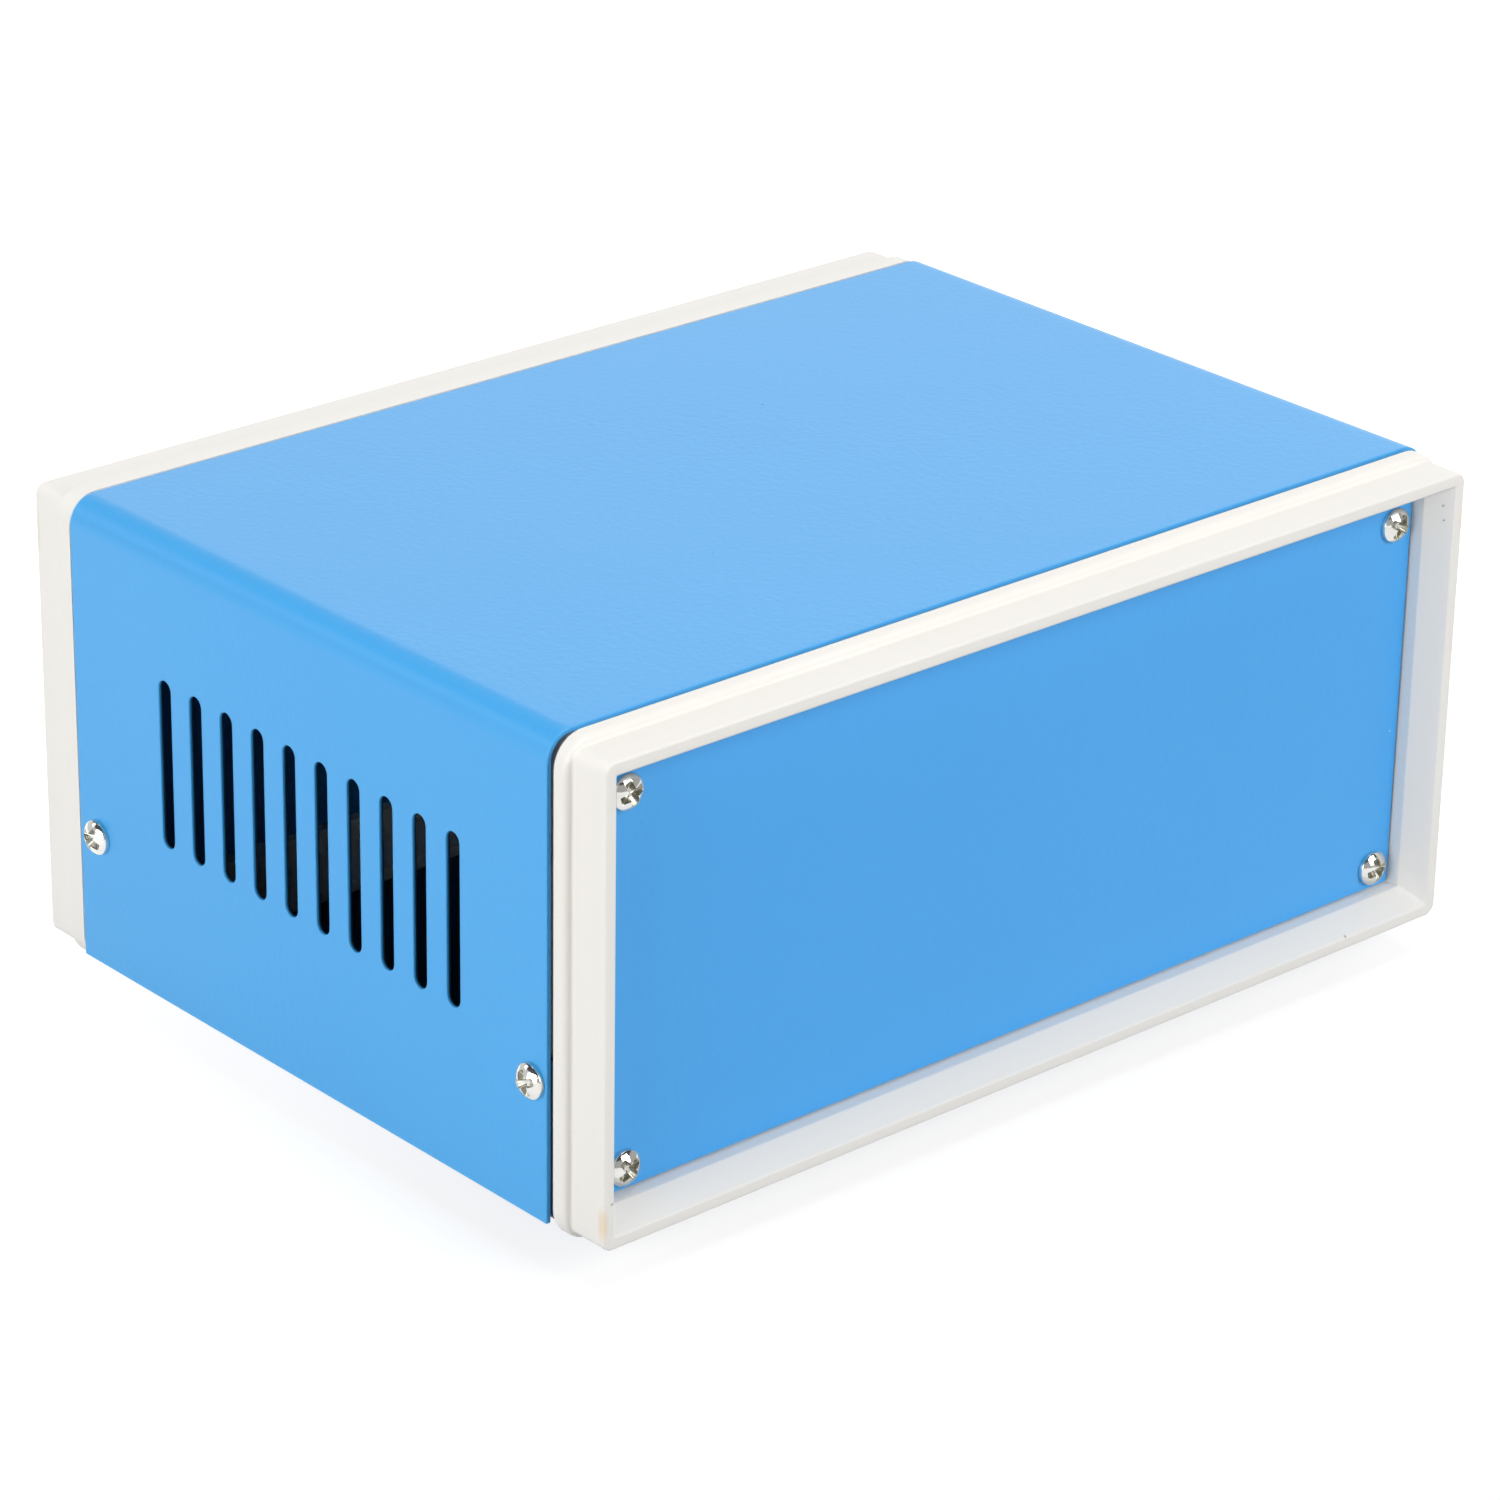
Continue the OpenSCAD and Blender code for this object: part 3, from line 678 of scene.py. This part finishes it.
def screw_surface(turn):
    """A pan-head screw with its head on z = 0, as rings from the bottom of the recess to the tip.

    In the recess a ring has four wings: r = ((cos a / l)^p + (sin a / w)^p)^(-1/p), where a is the angle to
    the nearest wing. On the dome the rings widen evenly to the rim's circle. On the shank the radius rises
    and falls once a pitch and once a turn, which draws the thread's helix.
    """
    angle = np.linspace(0, 2 * math.pi, FINE_ROUND_STEPS, endpoint=False)
    to_wing = np.abs((angle - turn + math.pi / 4) % (math.pi / 2) - math.pi / 4)
    dome_h = HEAD_H - HEAD_RIM_H
    dome_r = (HEAD_R ** 2 + dome_h ** 2) / (2 * dome_h)

    def wings(length, width):
        power = RECESS_WING_POWER
        return ((np.cos(to_wing) / length) ** power + (np.sin(to_wing) / width) ** power) ** (-1 / power)

    def dome(radius):
        return HEAD_H - dome_r + np.sqrt(dome_r ** 2 - radius ** 2)

    circle = np.ones_like(angle)
    floor = wings(RECESS_FLOOR_SCALE[0] * RECESS_HALF_L, RECESS_FLOOR_SCALE[1] * RECESS_HALF_W)
    floor_z = HEAD_H - RECESS_DEPTH + RECESS_FLOOR_RISE
    mouth = wings(RECESS_HALF_L, RECESS_HALF_W)
    mouth_z = dome(mouth) - RECESS_EDGE_DROP
    lip = mouth + RECESS_EDGE_W
    rings = [(0 * circle, (HEAD_H - RECESS_DEPTH) * circle)]
    for share in np.linspace(0, 1, RECESS_RINGS - 1):
        rings.append((floor + share * (mouth - floor), floor_z + share * (mouth_z - floor_z)))
    for share in np.linspace(0, 1, 10) ** 0.9:
        radius = lip + share * (HEAD_R - HEAD_RIM_EDGE - lip)
        rings.append((radius, dome(radius)))
    rings += [(HEAD_R * circle, (HEAD_RIM_H - HEAD_RIM_EDGE) * circle),
              (HEAD_R * circle, HEAD_BACK_EDGE * circle),
              ((HEAD_R - HEAD_BACK_EDGE) * circle, 0 * circle),
              (SHANK_R * circle, 0 * circle)]
    for z in np.linspace(-THREAD_START, TIP_L - SHANK_L, THREAD_RINGS):
        phase = (z / THREAD_PITCH - angle / (2 * math.pi)) % 1
        rings.append((SHANK_R - THREAD_DEPTH * np.abs(2 * phase - 1), z * circle))
    rings += [((SHANK_R - TIP_L) * circle, -SHANK_L * circle), (0 * circle, -SHANK_L * circle)]
    radius = np.stack([ring[0] for ring in rings])
    height = np.stack([ring[1] for ring in rings])
    return np.stack([radius * np.cos(angle), radius * np.sin(angle), height], axis=-1)


def make_screws(node, material):
    """All screws of one group, each with its own turn, in one mesh. The share of painted shade in the plating
    rises evenly from the floor of each recess to its mouth, and is nothing elsewhere."""
    axis, way = SCREW_FACING[node]
    out = np.zeros(3)
    out[axis] = way
    across = np.array((0.0, 1.0, 0.0)) if axis == 0 else np.array((1.0, 0.0, 0.0))
    basis = np.stack([across, np.cross(out, across), out])
    patches = [(screw_surface(math.radians(turn)) @ basis + seat, False, True)
               for seat, turn in zip(head_seats(node), SCREW_TURNS[node])]
    ring = np.arange(patches[0][0].shape[0])[None, :, None]
    shade_share = RECESS_FLOOR_SHADE_SHARE + (1 - RECESS_FLOOR_SHADE_SHARE) * ring / (RECESS_RINGS - 1)
    share = np.where(ring < RECESS_RINGS, shade_share, 0)
    in_recess = np.broadcast_to(share, (len(patches),) + patches[0][0].shape[:2])
    mesh = make_mesh(node + "_plated", patches, closed=True, recess=in_recess)
    mesh.set_sharp_from_angle(angle=TURNED_SMOOTH_ANGLE)
    place_piece(node + "_plated", mesh, material, node)


def make_foot(node, material):
    """Turned rubber foot: wider against the tray, with a round lower edge and a recess for its screw."""
    low, high = (np.array(corner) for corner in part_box(node))
    height = high[2] - low[2]
    top_r = (high[0] - low[0]) / 2
    base_r = top_r - FOOT_TAPER
    seat = height - FOOT_WEB
    turn = np.linspace(0, math.pi / 2, QUARTER_STEPS + 1)
    lower_edge = zip(base_r - FOOT_EDGE_R + FOOT_EDGE_R * np.sin(turn), FOOT_EDGE_R * (1 - np.cos(turn)))
    profile = [(SCREW_HOLE_R, height), (SCREW_HOLE_R, seat),
               (FOOT_RECESS_R, seat), (FOOT_RECESS_R, FOOT_RECESS_EDGE),
               (FOOT_RECESS_R + FOOT_RECESS_EDGE, 0), *lower_edge,
               (top_r, height - FOOT_TOP_EDGE), (top_r - FOOT_TOP_EDGE, height), (SCREW_HOLE_R, height)]
    base = ((low[0] + high[0]) / 2, (low[1] + high[1]) / 2, low[2])
    mesh = make_mesh(node + "_rubber", [turned(profile, base, (0, 0, 1), (1, 0, 0))], closed=True)
    mesh.set_sharp_from_angle(angle=TURNED_SMOOTH_ANGLE)
    place_piece(node + "_rubber", mesh, material, node)


# Materials

def add_node(tree, kind, inputs=None, **settings):
    """Adds a shader node, sets its options, and links or sets its inputs."""
    node = tree.nodes.new("ShaderNode" + kind)
    for name, value in settings.items():
        setattr(node, name, value)
    for name, value in (inputs or {}).items():
        if isinstance(value, bpy.types.NodeSocket):
            tree.links.new(value, node.inputs[name])
        else:
            node.inputs[name].default_value = value
    return node


def new_material(name, **values):
    """A material with one Principled shader; returns it with its tree, shader and Object coordinates."""
    material = bpy.data.materials.new(name)
    material.use_nodes = True
    tree = material.node_tree
    shader = tree.nodes["Principled BSDF"]
    for socket, value in values.items():
        shader.inputs[socket.replace("_", " ")].default_value = value
    return material, tree, shader, add_node(tree, "TexCoord").outputs["Object"]


def noise(tree, place, size, detail=2.0):
    """Smooth noise whose lumps are about the given size across."""
    return add_node(tree, "TexNoise", {"Vector": place, "Scale": 1 / size, "Detail": detail}).outputs["Fac"]


def between(tree, value, low, high):
    """A value's share of the way from low to high, clamped and eased."""
    return add_node(tree, "MapRange", {"Value": value, "From Min": low, "From Max": high},
                    interpolation_type="SMOOTHSTEP").outputs["Result"]


def times(tree, a, b):
    """Product of two values."""
    return add_node(tree, "Math", {0: a, 1: b}, operation="MULTIPLY").outputs[0]


def blend(tree, share, under, over):
    """Colour that goes from one to the other as the share rises."""
    return add_node(tree, "Mix", {0: share, 6: under, 7: over}, data_type="RGBA").outputs[2]


def grey(level):
    """A grey of the given level."""
    return (level, level, level, 1)


def bumps(tree, shader, layers):
    """Chains bumps of (height, depth in metres) on a shader's normal."""
    normal = None
    for height, depth in layers:
        inputs = {"Height": height, "Distance": depth, "Strength": 1.0}
        if normal is not None:
            inputs["Normal"] = normal
        normal = add_node(tree, "Bump", inputs).outputs["Normal"]
    tree.links.new(normal, shader.inputs["Normal"])


def specks(tree, place, spacing, radius, share):
    """Mask of sparse round specks: near the middle of a few of the cells of a random lattice."""
    cells = add_node(tree, "TexVoronoi", {"Vector": place, "Scale": 1 / spacing})
    chosen = add_node(tree, "SeparateColor", {"Color": cells.outputs["Color"]}).outputs["Red"]
    near = between(tree, cells.outputs["Distance"], radius / spacing, SPECK_CORE * radius / spacing)
    return times(tree, near, add_node(tree, "Math", {0: chosen, 1: share}, operation="LESS_THAN").outputs[0])


def stain(tree, place, colour, spot, size, tint, strength):
    """Lays a soft-edged stain over a colour: an ellipsoid of the given half sizes round a spot."""
    offset = add_node(tree, "VectorMath", {0: place, 1: spot}, operation="SUBTRACT").outputs[0]
    scaled = add_node(tree, "VectorMath", {0: offset, 1: size}, operation="DIVIDE").outputs[0]
    reach = add_node(tree, "VectorMath", {0: scaled}, operation="LENGTH").outputs["Value"]
    share = times(tree, between(tree, reach, 1.0, STAIN_CORE), strength)
    return blend(tree, share, colour, tint)


def excess(tree, value, limit):
    """How far a value is past a limit, or nothing."""
    over = add_node(tree, "Math", {0: value, 1: limit}, operation="SUBTRACT").outputs[0]
    return add_node(tree, "Math", {0: over, 1: 0.0}, operation="MAXIMUM").outputs[0]


def inside_cover(tree, place):
    """Mask of the cover's inside and the walls of its slots, where the coat takes a painted shade. The
    cover's section is a rectangle with round upper corners, so the depth below its outside is the bend's
    radius less the distance from the lines that the bends turn about. The edges at both ends are left out."""
    low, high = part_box("top_cover")
    parts = add_node(tree, "SeparateXYZ", {"Vector": place}).outputs
    across = add_node(tree, "Math", {0: parts["X"]}, operation="ABSOLUTE").outputs[0]
    offset = add_node(tree, "CombineXYZ", {0: excess(tree, across, high.x - COVER_BEND_R),
                                           1: excess(tree, parts["Z"], high.z - COVER_BEND_R)}).outputs[0]
    reach = add_node(tree, "VectorMath", {0: offset}, operation="LENGTH").outputs["Value"]
    deep = between(tree, reach, *(COVER_BEND_R - depth for depth in COVER_INSIDE))
    behind_front = between(tree, parts["Y"], *(low.y + inset for inset in COVER_END))
    before_rear = between(tree, parts["Y"], *(high.y - inset for inset in COVER_END))
    return times(tree, deep, times(tree, behind_front, before_rear))


def inside_tray(tree, place):
    """Mask of all of the tray that is above its underside, where the coat takes a painted shade."""
    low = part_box("base_tray")[0]
    level = add_node(tree, "SeparateXYZ", {"Vector": place}).outputs["Z"]
    return between(tree, level, *(low.z + depth for depth in TRAY_INSIDE))


def blue_powder_coat(name, blue, inside=None):
    """Sky-blue powder coat on steel: orange-peel bumps a millimetre across with a finer grain, a slow drift
    of tone, and a few pale and dark specks. `blue` is the strength of that colour. Where the mask given for
    the inside covers it, the coat is darkened to a painted shade."""
    material, tree, shader, place = new_material(name, Roughness=0.38, IOR=1.5)
    drift = noise(tree, place, 45 * MM)
    colour = blend(tree, drift, (*COAT_DEEP, blue, 1), (*COAT_LIGHT, blue + COAT_BLUE_DRIFT, 1))
    peel = noise(tree, place, 1.1 * MM)
    grain = noise(tree, place, 0.3 * MM, detail=1.0)
    colour = blend(tree, times(tree, grain, COAT_GRAIN_SHARE), colour, COAT_GRAIN)
    dark = specks(tree, place, spacing=9 * MM, radius=0.22 * MM, share=0.10)
    pale = specks(tree, place, spacing=7 * MM, radius=0.2 * MM, share=0.06)
    colour = blend(tree, dark, colour, COAT_DARK_SPECK)
    colour = blend(tree, pale, colour, COAT_PALE_SPECK)
    if inside:
        colour = blend(tree, inside(tree, place), colour, INSIDE_PAINTED_SHADE)
    tree.links.new(colour, shader.inputs["Base Color"])
    bumps(tree, shader, [(peel, 0.05 * MM), (grain, 0.008 * MM)])
    return material


def white_abs(name, stains):
    """Satin white moulding: a fine matt grain from the mould, a slight drift of tone, and its own stains."""
    material, tree, shader, place = new_material(name, Roughness=0.5, IOR=1.46)
    colour = blend(tree, noise(tree, place, 30 * MM), *ABS_TONES)
    dark = specks(tree, place, spacing=11 * MM, radius=0.16 * MM, share=0.10)
    colour = blend(tree, dark, colour, ABS_SPECK)
    for spot, size, tint, strength in stains:
        colour = stain(tree, place, colour, spot, size, tint, strength)
    tree.links.new(colour, shader.inputs["Base Color"])
    bumps(tree, shader, [(noise(tree, place, 0.25 * MM, detail=1.0), 0.004 * MM)])
    return material


def plated_steel(name, recess_shade):
    """Bright nickel plating: nearly a mirror, with faint tumbling marks and a warm, slightly uneven tone. In
    the cross recess, where the driver has rubbed, it is duller, and its colour turns to a painted shade of
    the recess."""
    material, tree, shader, place = new_material(name, Metallic=1.0)
    tone = noise(tree, place, 1.5 * MM)
    in_recess = add_node(tree, "Attribute", attribute_name="recess").outputs["Fac"]
    colour = blend(tree, tone, *NICKEL_TONES)
    colour = blend(tree, in_recess, colour, recess_shade)
    tree.links.new(colour, shader.inputs["Base Color"])
    polish = add_node(tree, "MapRange", {"Value": tone, "To Min": NICKEL_ROUGHNESS[0],
                                         "To Max": NICKEL_ROUGHNESS[1]}).outputs["Result"]
    dulling = times(tree, in_recess, RECESS_DULLING)
    roughness = add_node(tree, "Math", {0: dulling, 1: polish}, operation="ADD").outputs[0]
    tree.links.new(roughness, shader.inputs["Roughness"])
    bumps(tree, shader, [(noise(tree, place, 0.5 * MM), 0.01 * MM)])
    return material


def black_rubber():
    """Matt moulded rubber with a fine grain and a little pale dust."""
    material, tree, shader, place = new_material("black_rubber", Roughness=0.75)
    dust = between(tree, noise(tree, place, 3 * MM, detail=4.0), *DUST_RISE)
    colour = blend(tree, times(tree, dust, DUST_SHARE), RUBBER_BLACK, RUBBER_DUST)
    tree.links.new(colour, shader.inputs["Base Color"])
    bumps(tree, shader, [(noise(tree, place, 0.2 * MM), 0.01 * MM)])
    return material


# Stage

def make_floor():
    """A round paper floor, large enough to fill every view from above. Where the camera sees it, straight or
    mirrored, it glows: least in front of the box, more behind it and far away, as paper lit from behind."""
    angle = np.linspace(0, 2 * math.pi, FINE_ROUND_STEPS, endpoint=False)
    radius = np.array(FLOOR_RINGS)[:, None]
    points = np.stack([radius * np.cos(angle), radius * np.sin(angle), 0 * radius * angle], axis=-1)
    mesh = make_mesh("floor", [(points, False, True)], closed=False)
    floor = bpy.data.objects.new("floor", mesh)
    bpy.context.scene.collection.objects.link(floor)
    material, tree, shader, place = new_material("floor_paper", Roughness=0.9, Base_Color=grey(FLOOR_TONE))
    depth = add_node(tree, "SeparateXYZ", {"Vector": place}).outputs["Y"]
    reach = add_node(tree, "VectorMath", {0: place}, operation="LENGTH").outputs["Value"]
    glow = blend(tree, between(tree, depth, *BACK_GLOW_RISE), grey(FRONT_GLOW), grey(BACK_GLOW))
    glow = blend(tree, between(tree, reach, *FAR_GLOW_RISE), glow, grey(FAR_GLOW))
    tree.links.new(glow, shader.inputs["Emission Color"])
    path = add_node(tree, "LightPath").outputs
    mirrored = add_node(tree, "Math", {0: path["Is Glossy Ray"], 1: path["Is Transmission Ray"]},
                        operation="MAXIMUM").outputs[0]
    seen = add_node(tree, "Math", {0: path["Is Camera Ray"], 1: mirrored}, operation="MAXIMUM").outputs[0]
    tree.links.new(seen, shader.inputs["Emission Strength"])
    mesh.materials.append(material)


def make_light():
    """A plain studio: grey walls, brighter behind and most of all behind on the right, a dim ceiling, and
    four soft boxes."""
    world = bpy.data.worlds.new("studio")
    bpy.context.scene.world = world
    world.use_nodes = True
    tree = world.node_tree
    toward = add_node(tree, "TexCoord").outputs["Generated"]
    parts = add_node(tree, "SeparateXYZ", {"Vector": toward}).outputs
    sweep = add_node(tree, "VectorMath", {0: toward, 1: SWEEP_SIDE}, operation="DOT_PRODUCT").outputs["Value"]
    light = blend(tree, between(tree, parts["Y"], *BACK_RISE), grey(FRONT_LEVEL), grey(BACK_LEVEL))
    light = blend(tree, between(tree, sweep, *SWEEP_RISE), light, grey(SWEEP_LEVEL))
    light = blend(tree, between(tree, parts["Z"], *CEILING_RISE), light, grey(CEILING_LEVEL))
    tree.links.new(light, tree.nodes["Background"].inputs["Color"])
    for name, place, size, power in SOFT_BOXES:
        lamp = bpy.data.lights.new(name, "AREA")
        lamp.size = size
        lamp.energy = power
        holder = bpy.data.objects.new(name, lamp)
        bpy.context.scene.collection.objects.link(holder)
        holder.matrix_world = facing(place, place)


def facing(place, back_axis, roll=0.0):
    """Matrix of a lamp or camera at a place, looking against back_axis, level but for its roll."""
    back = np.array(back_axis, float) / np.linalg.norm(back_axis)
    right = np.cross((0, 0, 1), back)
    right /= np.linalg.norm(right)
    up = np.cross(back, right)
    rolled_right = right * math.cos(roll) + up * math.sin(roll)
    rolled_up = up * math.cos(roll) - right * math.sin(roll)
    matrix = np.eye(4)
    matrix[:3, 0], matrix[:3, 1], matrix[:3, 2], matrix[:3, 3] = rolled_right, rolled_up, back, place
    return Matrix(matrix.tolist())


def make_camera():
    """The photograph's camera, from its fitted place, direction, roll and focal length."""
    camera = bpy.data.cameras.new("camera")
    camera.sensor_width = SENSOR_W
    camera.lens = FOCAL_PIXELS / PHOTO_PIXELS * SENSOR_W
    camera.clip_start = 10 * MM
    holder = bpy.data.objects.new("camera", camera)
    bpy.context.scene.collection.objects.link(holder)
    flat = math.cos(CAMERA_ELEVATION)
    back = (math.sin(CAMERA_AZIMUTH) * flat, -math.cos(CAMERA_AZIMUTH) * flat, math.sin(CAMERA_ELEVATION))
    holder.matrix_world = facing(CAMERA_PLACE, back, CAMERA_ROLL)
    bpy.context.scene.camera = holder


make_camera()
make_light()
make_floor()
paint = blue_powder_coat("panel_powder_coat", PANEL_BLUE_LIFTED_FOR_SHADE)
plating = plated_steel("nickel_plating", RECESS_PAINTED_SHADE)
side_plating_paler_shade = plated_steel("side_nickel_plating_paler_shade", SIDE_RECESS_PAINTED_SHADE)
rubber = black_rubber()
make_cover(blue_powder_coat("cover_powder_coat", CASE_BLUE, inside_cover))
make_tray(blue_powder_coat("tray_powder_coat", CASE_BLUE, inside_tray))
for end in ("front", "rear"):
    make_panel(end, paint)
    make_frame(end, white_abs(end + "_white_abs", STAINS[end]))
for group in SCREW_TURNS:
    make_screws(group, side_plating_paler_shade if group.endswith("_cover_screws") else plating)
for column in ("left", "right"):
    make_foot("foot_front_" + column, rubber)
    make_foot("foot_rear_" + column, rubber)
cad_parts["foot_nuts"].data.materials[0] = plating

bpy.context.scene.view_settings.view_transform = "Standard"
